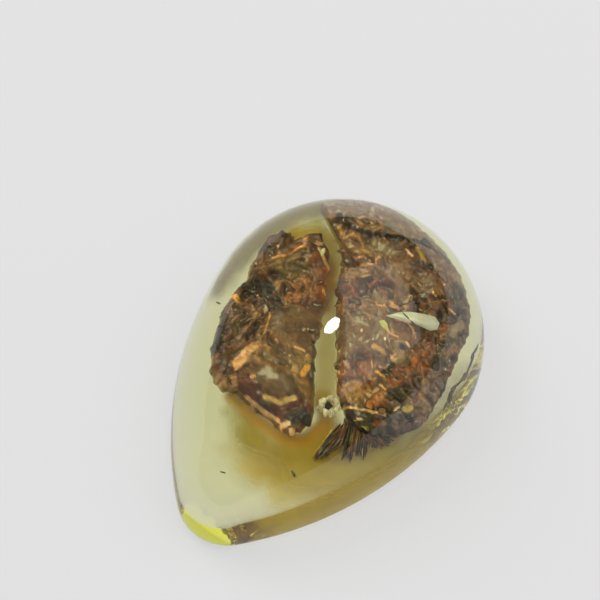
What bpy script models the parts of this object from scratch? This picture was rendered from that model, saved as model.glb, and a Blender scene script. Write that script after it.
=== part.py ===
# Teardrop cabochon of clear amber with two crusts of bark, splinters and crumbs sealed inside.
# The stone lies on its flat base: +Z up, the tip points to -Y, the origin is under the middle of the base.
# The clear stone is parted in two along a gently tilted plane, so that every sealed piece has a pocket.

import math

import bmesh
import bpy
from mathutils import Matrix, Vector, noise

MM = 0.001

# the stone
STONE_LENGTH = 46.0 * MM
STONE_HEIGHT = 18.0 * MM
ROUND_END_RADIUS = 16.5 * MM
FLANK_RADIUS = 41.3 * MM
TIP_RADIUS = 5.85 * MM
GIRDLE_HEIGHT = 1.2 * MM
BASE_EDGE_INSET = 0.9 * MM
PEAK_Y = 6.0 * MM
ROUND_END_STEPS = 22
FLANK_STEPS = 12
TIP_STEPS = 9
EDGE_STEPS = 3
DOME_STEPS = 12

# the parting and the pockets
PARTING_HEIGHT = 6.6 * MM
PARTING_SLOPE = -0.13
PARTING_GAP = 0.3 * MM
POCKET_GAP = 0.35 * MM

# the two crusts of bark, in millimetres: outline on the parting, counter-clockwise, and the lobes (raised)
# and hollows (sunk) of the top as x, y, radius, height
BARK_LEFT = {
    "outline": (
        (-9.6, 6.6), (-8.9, 3.4), (-9.4, 0.5), (-8.9, -2.4), (-7.7, -5.8), (-6.8, -7.3), (-5.6, -8.4),
        (-4.5, -8.7), (-2.7, -8.2), (-0.7, -8.6), (1.6, -9.0), (2.5, -8.5), (3.0, -7.3), (3.2, -6.1),
        (2.1, -3.8), (1.2, -2.3), (0.3, -0.9), (-0.7, 1.2), (-1.4, 3.7), (-2.1, 6.4), (-2.8, 7.7),
        (-3.1, 9.0), (-4.5, 10.6), (-5.5, 11.3), (-6.6, 10.6), (-7.1, 9.5), (-7.9, 9.9), (-9.0, 9.9),
        (-9.8, 8.8),
    ),
    "middle": (-4.3, 0.7),
    "rise": 2.1 * MM,
    "sink": 1.0 * MM,
    "rings": 10,
    "lobes": {
        "olive hollow": (-6.1, 6.3, 2.4, -0.8),
        "dark pit": (-7.3, 3.4, 1.1, -0.7),
        "middle lobe": (-3.4, 0.3, 2.2, 0.7),
        "margin lobe": (-7.1, -3.3, 1.5, 0.5),
        "pale ridge": (-3.8, -4.1, 1.3, 0.5),
        "round lobe": (-0.4, -5.3, 1.9, 1.2),
    },
}
BARK_RIGHT = {
    "outline": (
        (-4.0, 12.5), (-3.4, 11.1), (-2.2, 9.6), (-1.7, 7.8), (-0.8, 6.1), (0.5, 3.7), (1.8, 1.3),
        (2.9, -0.9), (3.7, -2.1), (4.5, -2.8), (5.5, -3.6), (7.1, -3.8), (8.9, -3.7), (11.1, -2.2),
        (13.2, 0.8), (12.8, 4.2), (11.9, 7.2), (11.2, 9.9), (10.7, 12.3), (9.7, 14.0), (8.3, 15.2),
        (5.9, 16.6), (3.8, 17.3), (1.2, 17.6), (-1.2, 18.2), (-4.0, 18.2), (-6.0, 17.1), (-6.6, 15.9),
        (-5.7, 14.1),
    ),
    "middle": (3.4, 7.6),
    "rise": 2.7 * MM,
    "sink": 1.2 * MM,
    "rings": 12,
    "lobes": {
        "big lobe": (2.3, 11.8, 3.0, 1.3),
        "back fold": (-0.4, 16.0, 1.8, 0.9),
        "mauve lobe": (2.7, 5.5, 2.2, 0.8),
        "round knob": (6.9, 5.4, 1.3, 1.0),
        "rod bundle": (6.8, 12.1, 1.8, 0.5),
        "golden hollow": (5.8, -1.0, 1.7, -0.8),
        "lower band": (9.2, -1.8, 1.8, 0.6),
    },
}
LOW_RIM_START = 7.0 * MM
LOW_RIM_END = 14.0 * MM
LOW_RIM_KEEP = 0.42
RIM_FULLNESS = 0.6
NOTCH_WIDTH = 1.6
SURFACE_WAVE = 2.2 * MM
SURFACE_ROUGHNESS = 0.22 * MM

# small pieces: places on the parting, in millimetres
SPLINTER_BLADE_OUTLINE = (
    (4.9, -4.7), (5.8, -4.5), (6.5, -6.3), (6.6, -7.8), (6.1, -9.5), (5.6, -9.1), (5.0, -7.7), (4.8, -6.1),
)
SPLINTER_TUFT_OUTLINE = (
    (6.4, -4.5), (9.1, -4.4), (11.0, -4.1), (9.8, -4.8), (10.1, -5.7), (9.0, -5.4), (9.1, -6.8),
    (8.4, -6.0), (8.2, -7.2), (7.3, -5.9),
)
SPLINTER_THICKNESS = 0.8 * MM
SPLINTER_BEVEL = 0.18 * MM

EDGE_STRAND_ROUTE = ((13.3, 11.8), (13.7, 10.3), (13.5, 8.7), (13.9, 7.2), (13.8, 5.9), (14.2, 4.3))
EDGE_STRAND_RADIUS = 0.28 * MM

CHALK_CRUMB_PLACE = (3.9, -4.2)
CHALK_CRUMB_SIZE = (0.75, 1.0, 0.9)

PALE_FLAKE_PLACE = (6.6, 8.6)
PALE_FLAKE_SIZE = (2.9, 0.95, 0.3)
PALE_FLAKE_TURN = math.radians(24.0)
PALE_FLAKE_HEIGHT = 3.7 * MM

SPECKS = {
    "speck_left": (-10.6, -0.4, 0.0),
    "speck_middle": (4.9, -12.1, -50.0),
    "speck_tip": (-0.4, -16.4, 20.0),
}
SPECK_SIZE = (0.5, 0.3, 0.3)
CRUMB_SEGMENTS = 10
CRUMB_RINGS = 6


def clear_scene():
    for old in list(bpy.data.objects):
        bpy.data.objects.remove(old, do_unlink=True)


def material(name, color, roughness, alpha=1.0, transmission=0.0):
    mat = bpy.data.materials.new(name)
    mat.use_nodes = True
    shader = mat.node_tree.nodes["Principled BSDF"]
    shader.inputs["Base Color"].default_value = (*color, 1.0)
    shader.inputs["Roughness"].default_value = roughness
    shader.inputs["Metallic"].default_value = 0.0
    shader.inputs["Alpha"].default_value = alpha
    shader.inputs["Transmission Weight"].default_value = transmission
    mat.diffuse_color = (*color, alpha)
    return mat


def add_object(name, bm, mat):
    mesh = bpy.data.meshes.new(name)
    bm.normal_update()
    bm.to_mesh(mesh)
    bm.free()
    mesh.shade_smooth()
    mesh.set_sharp_from_angle(angle=math.radians(40))
    obj = bpy.data.objects.new(name, mesh)
    bpy.context.scene.collection.objects.link(obj)
    if mat:
        obj.data.materials.append(mat)
    return obj


def add_cutter(name, bm):
    cutter = add_object(name, bm, None)
    cutter.hide_render = True
    cutter.display_type = "WIRE"
    return cutter


def parting_z(x):
    return PARTING_HEIGHT + PARTING_SLOPE * x


def arc(centre, radius, start, end, steps):
    # points from start up to, but not with, end
    for i in range(steps):
        angle = start + (end - start) * i / steps
        yield Vector((centre[0] + radius * math.cos(angle), centre[1] + radius * math.sin(angle)))


def teardrop(inset):
    # three tangent arcs down the +X side, then their mirror image, going clockwise from the round end
    spine = STONE_LENGTH - ROUND_END_RADIUS - TIP_RADIUS
    taper = (ROUND_END_RADIUS - TIP_RADIUS) * (2 * FLANK_RADIUS - ROUND_END_RADIUS - TIP_RADIUS)
    flank_y = -(spine ** 2 - taper) / (2 * spine)
    flank_x = -math.sqrt((FLANK_RADIUS - ROUND_END_RADIUS) ** 2 - flank_y ** 2)
    leave_round = math.atan2(-flank_y, -flank_x)
    meet_tip = math.atan2(-spine - flank_y, -flank_x)
    side = [
        *arc((0, 0), ROUND_END_RADIUS - inset, math.pi / 2, leave_round, ROUND_END_STEPS),
        *arc((flank_x, flank_y), FLANK_RADIUS - inset, leave_round, meet_tip, FLANK_STEPS),
        *arc((0, -spine), TIP_RADIUS - inset, meet_tip, -math.pi / 2, TIP_STEPS),
    ]
    tip = Vector((0, -spine - TIP_RADIUS + inset))
    other_side = [Vector((-p.x, p.y)) for p in reversed(side[1:])]
    lift = Vector((0, STONE_LENGTH / 2 - ROUND_END_RADIUS))
    return [p + lift for p in side + [tip] + other_side]


def stone_rings():
    # quarter round from the flat base out to the girdle, then the elliptic dome up to the peak
    for i in range(EDGE_STEPS + 1):
        turn = math.pi / 2 * i / EDGE_STEPS
        inset = BASE_EDGE_INSET * (1 - math.sin(turn))
        yield [p.to_3d() + Vector((0, 0, GIRDLE_HEIGHT * (1 - math.cos(turn)))) for p in teardrop(inset)]
    peak = Vector((0, PEAK_Y))
    for i in range(1, DOME_STEPS):
        turn = math.pi / 2 * i / DOME_STEPS
        height = GIRDLE_HEIGHT + (STONE_HEIGHT - GIRDLE_HEIGHT) * math.sin(turn)
        yield [(peak + (p - peak) * math.cos(turn)).to_3d() + Vector((0, 0, height)) for p in teardrop(0)]


def stone_mesh():
    bm = bmesh.new()
    rings = list(stone_rings())
    loop = [bm.verts.new(p) for p in rings[0]]
    bm.faces.new(loop)
    for ring in rings[1:]:
        edges = [bm.edges.get((loop[i - 1], loop[i])) for i in range(len(loop))]
        grown = bmesh.ops.extrude_edge_only(bm, edges=edges)["geom"]
        new_verts = {v for v in grown if isinstance(v, bmesh.types.BMVert)}
        loop = [next(e.other_vert(v) for e in v.link_edges if e.other_vert(v) in new_verts) for v in loop]
        for vert, place in zip(loop, ring):
            vert.co = place
    peak = bm.verts.new((0, PEAK_Y, STONE_HEIGHT))
    for i in range(len(loop)):
        bm.faces.new((loop[i - 1], loop[i], peak))
    bmesh.ops.recalc_face_normals(bm, faces=bm.faces)
    return bm


def stone_half(name, side, mat):
    # keeps what lies above (side 1) or below (side -1) the parting, less half the gap
    bm = stone_mesh()
    normal = Vector((-PARTING_SLOPE, 0, 1)).normalized()
    place = Vector((0, 0, PARTING_HEIGHT)) + normal * side * PARTING_GAP / 2
    cut = bmesh.ops.bisect_plane(
        bm, geom=[*bm.verts, *bm.edges, *bm.faces], dist=1e-7, plane_co=place, plane_no=normal * -side, clear_outer=True
    )
    rim = [e for e in cut["geom_cut"] if isinstance(e, bmesh.types.BMEdge)]
    bmesh.ops.contextual_create(bm, geom=rim)
    bmesh.ops.recalc_face_normals(bm, faces=bm.faces)
    return add_object(name, bm, mat)


def without_notches(outline):
    # moves the foot of each narrow notch out to the line between its neighbours
    points = [Vector(p) for p in outline]
    for i, point in enumerate(points):
        before = points[i - 1]
        after = points[(i + 1) % len(points)]
        bends_inwards = (point - before).cross(after - point) < 0
        if bends_inwards and (before - after).length < NOTCH_WIDTH:
            point = (before + after) / 2
        yield point


def rim_points(outline, spread):
    # the outline with a point halfway along each side; spread moves it outwards and fills its notches
    corners = list(without_notches(outline)) if spread else [Vector(p) for p in outline]
    points = []
    for i, corner in enumerate(corners):
        points += [corner * MM, (corner + corners[(i + 1) % len(corners)]) / 2 * MM]
    for i, point in enumerate(points):
        along = (points[(i + 1) % len(points)] - points[i - 1]).normalized()
        yield point + Vector((along.y, -along.x)) * spread


def low_rim(x):
    # the crust thins out towards the right rim, where the dome comes down
    t = min(max((x - LOW_RIM_START) / (LOW_RIM_END - LOW_RIM_START), 0), 1)
    return 1 - (1 - LOW_RIM_KEEP) * t * t * (3 - 2 * t)


def lobe_height(x, y, lobes):
    total = 0
    for cx, cy, radius, height in lobes.values():
        far = ((x - cx * MM) ** 2 + (y - cy * MM) ** 2) / (radius * MM) ** 2
        total += height * MM * math.exp(-far)
    return total


def bark_mesh(bark, spread=0.0):
    # a sphere whose meridians run to the points of the outline, flattened to an uneven slab;
    # spread moves its whole surface outwards
    points = list(rim_points(bark["outline"], spread))
    middle = Vector(bark["middle"]) * MM
    bm = bmesh.new()
    bmesh.ops.create_uvsphere(bm, u_segments=len(points), v_segments=bark["rings"], radius=1)
    for vert in bm.verts:
        turn = math.atan2(-vert.co.x, vert.co.y) / (2 * math.pi)
        edge = points[round(turn * len(points)) % len(points)]
        reach = min(math.hypot(vert.co.x, vert.co.y), 1)
        x, y = middle + (edge - middle) * reach
        fullness = max(abs(vert.co.z), 1e-9) ** RIM_FULLNESS
        z = parting_z(x) + noise.noise(Vector((x, y, 0)) / SURFACE_WAVE) * SURFACE_ROUGHNESS * fullness
        if vert.co.z > 0:
            z += (bark["rise"] + lobe_height(x, y, bark["lobes"])) * fullness * low_rim(x) + spread * fullness
        else:
            z -= bark["sink"] * fullness * low_rim(x) + spread * fullness
        vert.co = (x, y, z)
    return bm


def splinter_mesh(outline):
    # a flat plate along the parting with bevelled edges
    bm = bmesh.new()
    under = [bm.verts.new((x * MM, y * MM, parting_z(x * MM) - SPLINTER_THICKNESS / 2)) for x, y in outline]
    plate = bm.faces.new(under)
    top = bmesh.ops.extrude_face_region(bm, geom=[plate])["geom"]
    top_verts = [v for v in top if isinstance(v, bmesh.types.BMVert)]
    bmesh.ops.translate(bm, verts=top_verts, vec=(0, 0, SPLINTER_THICKNESS))
    bmesh.ops.recalc_face_normals(bm, faces=bm.faces)
    long_edges = [e for e in bm.edges if abs(e.verts[0].co.z - e.verts[1].co.z) < SPLINTER_THICKNESS / 2]
    bmesh.ops.bevel(
        bm, geom=long_edges, offset=SPLINTER_BEVEL, affect="EDGES", segments=1, profile=0.5, material=-1,
        clamp_overlap=True
    )
    return bm


def crumb_mesh(place, size, turn=0.0, lift=0.0):
    x, y = place
    bm = bmesh.new()
    bmesh.ops.create_uvsphere(bm, u_segments=CRUMB_SEGMENTS, v_segments=CRUMB_RINGS, radius=1)
    lie = Matrix.Rotation(math.atan(-PARTING_SLOPE), 4, "Y") @ Matrix.Rotation(turn, 4, "Z")
    centre = Matrix.Translation((x * MM, y * MM, parting_z(x * MM) + lift))
    bmesh.ops.transform(bm, verts=bm.verts, matrix=centre @ lie @ Matrix.Diagonal((*[s * MM for s in size], 1)))
    return bm


def strand_mesh(route, radius):
    # a thin strand that tapers at both ends
    curve = bpy.data.curves.new("strand_route", "CURVE")
    curve.dimensions = "3D"
    curve.bevel_depth = radius
    curve.bevel_resolution = 1
    curve.use_fill_caps = True
    spline = curve.splines.new("POLY")
    spline.points.add(len(route) - 1)
    for i, (x, y) in enumerate(route):
        along = i / (len(route) - 1)
        spline.points[i].co = (x * MM, y * MM, parting_z(x * MM), 1)
        spline.points[i].radius = 0.5 + 0.5 * math.sin(math.pi * along)
    holder = bpy.data.objects.new("strand_route", curve)
    bpy.context.scene.collection.objects.link(holder)
    bm = bmesh.new()
    bm.from_mesh(holder.to_mesh())
    holder.to_mesh_clear()
    bpy.data.objects.remove(holder, do_unlink=True)
    bmesh.ops.remove_doubles(bm, verts=bm.verts, dist=1e-6)
    bmesh.ops.recalc_face_normals(bm, faces=bm.faces)
    return bm


def grown(bm):
    # a small piece's own surface moved outwards
    pocket = bm.copy()
    pocket.normal_update()
    moves = [(v, v.normal * POCKET_GAP * min(v.calc_shell_factor(), 1.5)) for v in pocket.verts]
    for vert, move in moves:
        vert.co += move
    return pocket


def seal(name, bm, pocket_bm, mat, halves):
    # adds a sealed piece, and cuts its pocket into both halves of the stone
    pocket = add_cutter(name + "_pocket", pocket_bm)
    for half in halves:
        cut = half.modifiers.new(name + "_pocket", "BOOLEAN")
        cut.operation = "DIFFERENCE"
        cut.solver = "EXACT"
        cut.object = pocket
    return add_object(name, bm, mat)


def build():
    clear_scene()
    amber = material("amber", (0.85, 0.78, 0.32), 0.03, alpha=0.4, transmission=1.0)
    bark = material("bark", (0.16, 0.075, 0.03), 0.45)
    splinter = material("splinter", (0.09, 0.035, 0.015), 0.4)
    chalk = material("chalk", (0.75, 0.66, 0.56), 0.8)
    flake = material("pale_flake", (0.68, 0.68, 0.62), 0.3)

    halves = (stone_half("amber_dome", 1, amber), stone_half("amber_base", -1, amber))
    for name, shape in (("bark_left", BARK_LEFT), ("bark_right", BARK_RIGHT)):
        seal(name, bark_mesh(shape), bark_mesh(shape, POCKET_GAP), bark, halves)

    small_pieces = {
        "splinter_blade": (splinter_mesh(SPLINTER_BLADE_OUTLINE), splinter),
        "splinter_tuft": (splinter_mesh(SPLINTER_TUFT_OUTLINE), splinter),
        "edge_strand": (strand_mesh(EDGE_STRAND_ROUTE, EDGE_STRAND_RADIUS), splinter),
        "chalk_crumb": (crumb_mesh(CHALK_CRUMB_PLACE, CHALK_CRUMB_SIZE), chalk),
        "pale_flake": (crumb_mesh(PALE_FLAKE_PLACE, PALE_FLAKE_SIZE, PALE_FLAKE_TURN, PALE_FLAKE_HEIGHT), flake),
    }
    for name, (x, y, turn) in SPECKS.items():
        small_pieces[name] = (crumb_mesh((x, y), SPECK_SIZE, math.radians(turn)), splinter)
    for name, (bm, mat) in small_pieces.items():
        seal(name, bm, grown(bm), mat, halves)


build()
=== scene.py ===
import math
import random

import bmesh
import bpy
import numpy as np
from mathutils import Matrix, Vector, noise


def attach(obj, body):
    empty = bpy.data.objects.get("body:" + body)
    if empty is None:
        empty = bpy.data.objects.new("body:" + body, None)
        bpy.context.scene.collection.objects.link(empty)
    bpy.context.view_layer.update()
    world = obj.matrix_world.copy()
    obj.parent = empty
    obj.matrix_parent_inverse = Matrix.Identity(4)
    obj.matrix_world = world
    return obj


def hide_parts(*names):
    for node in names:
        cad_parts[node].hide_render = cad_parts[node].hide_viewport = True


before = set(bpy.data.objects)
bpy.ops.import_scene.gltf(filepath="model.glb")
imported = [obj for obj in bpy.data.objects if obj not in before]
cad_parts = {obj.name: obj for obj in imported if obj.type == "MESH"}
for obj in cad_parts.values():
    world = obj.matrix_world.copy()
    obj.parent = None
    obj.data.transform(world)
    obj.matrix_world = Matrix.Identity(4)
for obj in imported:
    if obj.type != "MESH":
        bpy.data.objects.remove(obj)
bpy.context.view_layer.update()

mm = 0.001


def addObject(name, bm, material):
    mesh = bpy.data.meshes.new(name)
    bm.to_mesh(mesh)
    bm.free()
    mesh.shade_smooth()
    mesh.materials.append(material)
    piece = bpy.data.objects.new(name, mesh)
    bpy.context.scene.collection.objects.link(piece)
    return piece


def newTinted():
    bm = bmesh.new()
    return bm, bm.verts.layers.float_color.new("tint")


def layVerts(bm, tint, places, tints):
    # puts each vertex in its place, given in millimetres, and gives it its colour
    for vert, place, spot in zip(bm.verts, places * mm, tints.tolist()):
        vert.co = place
        vert[tint] = spot


def newMaterial(name):
    material = bpy.data.materials.new(name)
    material.use_nodes = True
    return material, material.node_tree.nodes, material.node_tree.links


def amberMaterial():
    material, nodes, links = newMaterial("clearAmber")
    shader = nodes["Principled BSDF"]
    shader.inputs["Base Color"].default_value = (1.0, 1.0, 1.0, 1.0)
    shader.inputs["Roughness"].default_value = 0.0
    shader.inputs["Transmission Weight"].default_value = 1.0
    shader.inputs["IOR"].default_value = stone["ior"]
    absorb = nodes.new("ShaderNodeVolumeAbsorption")
    absorb.inputs["Color"].default_value = stone["absorbColor"]
    absorb.inputs["Density"].default_value = stone["absorbDensity"]
    links.new(absorb.outputs["Volume"], nodes["Material Output"].inputs["Volume"])
    return material


def mottleGroup():
    # small lighter and darker patches over a colour, and their height
    group = bpy.data.node_groups.new("mottle", "ShaderNodeTree")
    face = group.interface
    face.new_socket("Color", in_out="INPUT", socket_type="NodeSocketColor")
    face.new_socket("Scale", in_out="INPUT", socket_type="NodeSocketFloat").default_value = 1800.0
    face.new_socket("Contrast", in_out="INPUT", socket_type="NodeSocketFloat").default_value = 0.5
    face.new_socket("Color", in_out="OUTPUT", socket_type="NodeSocketColor")
    face.new_socket("Height", in_out="OUTPUT", socket_type="NodeSocketFloat")
    nodes, links = group.nodes, group.links
    start = nodes.new("NodeGroupInput")
    end = nodes.new("NodeGroupOutput")
    place = nodes.new("ShaderNodeTexCoord")
    grain = nodes.new("ShaderNodeTexNoise")
    grain.inputs["Detail"].default_value = 5.0
    grain.inputs["Roughness"].default_value = 0.65
    links.new(place.outputs["Object"], grain.inputs["Vector"])
    links.new(start.outputs["Scale"], grain.inputs["Scale"])
    spread = nodes.new("ShaderNodeMapRange")
    spread.inputs["From Min"].default_value = 0.32
    spread.inputs["From Max"].default_value = 0.68
    links.new(grain.outputs["Fac"], spread.inputs["Value"])
    for operation, limit in (("SUBTRACT", "To Min"), ("ADD", "To Max")):
        tone = nodes.new("ShaderNodeMath")
        tone.operation = operation
        tone.inputs[0].default_value = 1.0
        links.new(start.outputs["Contrast"], tone.inputs[1])
        links.new(tone.outputs["Value"], spread.inputs[limit])
    scale = nodes.new("ShaderNodeVectorMath")
    scale.operation = "SCALE"
    links.new(start.outputs["Color"], scale.inputs[0])
    links.new(spread.outputs["Result"], scale.inputs["Scale"])
    links.new(scale.outputs["Vector"], end.inputs["Color"])
    links.new(grain.outputs["Fac"], end.inputs["Height"])
    return group


debrisLook = {
    "bump": 0.04 * mm,
    "coatRoughness": 0.06,
}


def debrisMaterial(mottleTree, name, roughness, coat, contrast, scale=1800.0):
    # debris whose colour comes from its tint, which on the crusts holds painted shade and painted glints
    # too; its coat makes it look wet
    material, nodes, links = newMaterial(name)
    shader = nodes["Principled BSDF"]
    tint = nodes.new("ShaderNodeAttribute")
    tint.attribute_name = "tint"
    mottle = nodes.new("ShaderNodeGroup")
    mottle.node_tree = mottleTree
    mottle.inputs["Scale"].default_value = scale
    mottle.inputs["Contrast"].default_value = contrast
    links.new(tint.outputs["Color"], mottle.inputs["Color"])
    links.new(mottle.outputs["Color"], shader.inputs["Base Color"])
    bumps = nodes.new("ShaderNodeBump")
    bumps.inputs["Distance"].default_value = debrisLook["bump"]
    links.new(mottle.outputs["Height"], bumps.inputs["Height"])
    links.new(bumps.outputs["Normal"], shader.inputs["Normal"])
    shader.inputs["Roughness"].default_value = roughness
    shader.inputs["Coat Weight"].default_value = coat
    shader.inputs["Coat Roughness"].default_value = debrisLook["coatRoughness"]
    return material


def plainMaterial(name, color, roughness, glow=0.0):
    material = newMaterial(name)[0]
    shader = material.node_tree.nodes["Principled BSDF"]
    shader.inputs["Base Color"].default_value = (*color, 1)
    shader.inputs["Roughness"].default_value = roughness
    shader.inputs["Emission Color"].default_value = (1.0, 1.0, 1.0, 1)
    shader.inputs["Emission Strength"].default_value = glow
    return material


def stainAndShadeMaterial():
    # a see-through film of colour, partly orange staining of the amber and partly painted shade and shadow;
    # its tint carries how dense it is
    material, nodes, links = newMaterial("stainAndShade")
    shader = nodes["Principled BSDF"]
    tint = nodes.new("ShaderNodeAttribute")
    tint.attribute_name = "tint"
    links.new(tint.outputs["Color"], shader.inputs["Base Color"])
    links.new(tint.outputs["Alpha"], shader.inputs["Alpha"])
    shader.inputs["Roughness"].default_value = 1.0
    shader.inputs["Specular IOR Level"].default_value = 0.0
    return material


# the stone, in metres: the same driving sizes as the solid
stone = {
    "length": 46.0 * mm,
    "height": 18.0 * mm,
    "roundRadius": 16.5 * mm,
    "flankRadius": 41.3 * mm,
    "tipRadius": 5.85 * mm,
    "girdleHeight": 1.2 * mm,
    "edgeInset": 0.9 * mm,
    "peakY": 6.0 * mm,
    "roundSteps": 66,
    "flankSteps": 40,
    "tipSteps": 26,
    "edgeSteps": 8,
    "domeSteps": 64,
    "mergeGap": 0.001 * mm,
    "ior": 1.5,
    "absorbColor": (0.972, 0.976, 0.09, 1.0),
    "absorbDensity": 50.0,
}


def spinArc(bm, vert, centre, angle, steps):
    # turns a vertex round an upright axis and gives the last vertex of the arc
    middle = (*centre, vert.co.z)
    made = bmesh.ops.spin(
        bm, geom=[vert], cent=middle, axis=(0, 0, 1), angle=angle, steps=steps, use_duplicate=False
    )
    return next(part for part in made["geom_last"] if isinstance(part, bmesh.types.BMVert))


def flankArc():
    # centre of the flank's arc from the round end's, and the angles where it meets the two others
    roundRadius, flankRadius, tipRadius = stone["roundRadius"], stone["flankRadius"], stone["tipRadius"]
    spine = stone["length"] - roundRadius - tipRadius
    taper = (roundRadius - tipRadius) * (2 * flankRadius - roundRadius - tipRadius)
    flankY = -(spine ** 2 - taper) / (2 * spine)
    flankX = -math.sqrt((flankRadius - roundRadius) ** 2 - flankY ** 2)
    return flankX, flankY, math.atan2(-flankY, -flankX), math.atan2(-spine - flankY, -flankX)


def halfOutline(bm, height):
    # round end, flank and tip: three arcs that run into each other, down the +X side
    flankX, flankY, leaveRound, meetTip = flankArc()
    roundRadius = stone["roundRadius"]
    spine = stone["length"] - roundRadius - stone["tipRadius"]
    lift = stone["length"] / 2 - roundRadius
    vert = bm.verts.new((0, lift + roundRadius, height))
    vert = spinArc(bm, vert, (0, lift), leaveRound - math.pi / 2, stone["roundSteps"])
    vert = spinArc(bm, vert, (flankX, flankY + lift), meetTip - leaveRound, stone["flankSteps"])
    spinArc(bm, vert, (0, lift - spine), -math.pi / 2 - meetTip, stone["tipSteps"])


def growRing(bm, edges):
    # a new ring of edges, joined to the last one, and its vertices
    grown = bmesh.ops.extrude_edge_only(bm, edges=edges)["geom"]
    newEdges = [part for part in grown if isinstance(part, bmesh.types.BMEdge)]
    return newEdges, [part for part in grown if isinstance(part, bmesh.types.BMVert)]


def stonePiece(material):
    bm = bmesh.new()
    halfOutline(bm, stone["girdleHeight"])
    bmesh.ops.mirror(bm, geom=bm.verts[:] + bm.edges[:], axis="X", merge_dist=stone["mergeGap"])
    bmesh.ops.remove_doubles(bm, verts=bm.verts, dist=stone["mergeGap"])
    girdle = list(bm.edges)

    # down round the lower edge to the flat base
    edges = girdle
    middleY = stone["peakY"] / 2
    inset = drop = 0.0
    for i in range(1, stone["edgeSteps"] + 1):
        turn = math.pi / 2 * i / stone["edgeSteps"]
        edges, verts = growRing(bm, edges)
        nextInset = stone["edgeInset"] * (1 - math.cos(turn))
        nextDrop = stone["girdleHeight"] * math.sin(turn)
        for vert in verts:
            outwards = Vector((vert.co.x, vert.co.y - middleY, 0)).normalized()
            vert.co -= outwards * (nextInset - inset) + Vector((0, 0, nextDrop - drop))
        inset, drop = nextInset, nextDrop
    bmesh.ops.contextual_create(bm, geom=edges)

    # up over the dome
    edges = girdle
    peak = Matrix.Translation((0, -stone["peakY"], 0))
    scale, height = 1.0, 0.0
    rise = stone["height"] - stone["girdleHeight"]
    for i in range(1, stone["domeSteps"]):
        turn = math.pi / 2 * i / stone["domeSteps"]
        edges, verts = growRing(bm, edges)
        bmesh.ops.scale(bm, verts=verts, vec=(math.cos(turn) / scale, math.cos(turn) / scale, 1), space=peak)
        bmesh.ops.translate(bm, verts=verts, vec=(0, 0, rise * math.sin(turn) - height))
        scale, height = math.cos(turn), rise * math.sin(turn)
    top = bmesh.ops.contextual_create(bm, geom=edges)["faces"]
    for vert in bmesh.ops.poke(bm, faces=top)["verts"]:
        vert.co = (0, stone["peakY"], stone["height"])
    bmesh.ops.recalc_face_normals(bm, faces=bm.faces)
    piece = addObject("amberStone", bm, material)
    for face in piece.data.polygons:
        face.use_smooth = len(face.vertices) <= 4  # all but the flat base
    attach(piece, "root")
    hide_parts("amber_dome", "amber_base")


# colours of the debris as red, green, blue (linear), and how strongly the relief and its painted shade show
# there
palette = {
    "khaki": (0.25, 0.17, 0.08, 1.0),
    "olive": (0.17, 0.135, 0.05, 0.8),
    "ochre": (0.26, 0.14, 0.045, 1.0),
    "rustBrown": (0.22, 0.085, 0.025, 1.0),
    "darkBrown": (0.08, 0.043, 0.022, 1.0),
    "brown": (0.17, 0.095, 0.05, 1.0),
    "nearBlack": (0.03, 0.017, 0.012, 1.2),
    "purpleBrown": (0.115, 0.065, 0.055, 1.0),
    "greyBrown": (0.20, 0.15, 0.11, 0.7),
    # the mauve greys and grey olive also partly paint a sheen and the reflection of the overhead panel on
    # the right crust
    "mauveGrey": (0.2, 0.145, 0.12, 0.3),
    "smoothBrown": (0.17, 0.105, 0.06, 0.3),
    "smoothMauve": (0.2, 0.14, 0.11, 0.3),
    "smoothOchre": (0.21, 0.135, 0.06, 0.15),
    "smoothOlive": (0.15, 0.11, 0.05, 0.1),
    "khakiGrey": (0.24, 0.175, 0.1, 0.7),
    "oliveYellow": (0.28, 0.2, 0.06, 0.8),
    "oliveGold": (0.28, 0.18, 0.05, 0.8),
    "oliveGrey": (0.185, 0.16, 0.105, 0.3),
    "oliveBlack": (0.075, 0.064, 0.042, 1.3),
    # white, cream, gold, lime, pink and pink-white serve both as pale marks of the debris and as painted
    # glints on the crusts; the cream-green is only a painted highlight
    "cream": (0.85, 0.62, 0.38, 0.5),
    "creamGreen": (0.66, 0.62, 0.33, 0.1),
    "greyPink": (0.44, 0.34, 0.28, 1.0),
    "grey": (0.34, 0.30, 0.27, 0.8),
    "greyOlive": (0.25, 0.215, 0.155, 0.4),
    "pink": (0.66, 0.38, 0.26, 1.0),
    "pinkWhite": (0.88, 0.68, 0.56, 0.6),
    "white": (1.0, 0.9, 0.9, 0.4),
    "gold": (0.80, 0.54, 0.12, 1.0),
    "orange": (0.34, 0.15, 0.025, 0.8),
    "amberYellow": (0.3, 0.17, 0.025, 0.9),
    "rust": (0.24, 0.08, 0.015, 0.9),
    "redBrown": (0.175, 0.062, 0.03, 0.8),
    "darkRed": (0.115, 0.03, 0.014, 0.9),
    "purpleRed": (0.165, 0.067, 0.052, 0.6),
    "deepPurple": (0.088, 0.042, 0.046, 0.8),
    "lime": (0.52, 0.49, 0.07, 0.3),
}

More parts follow.
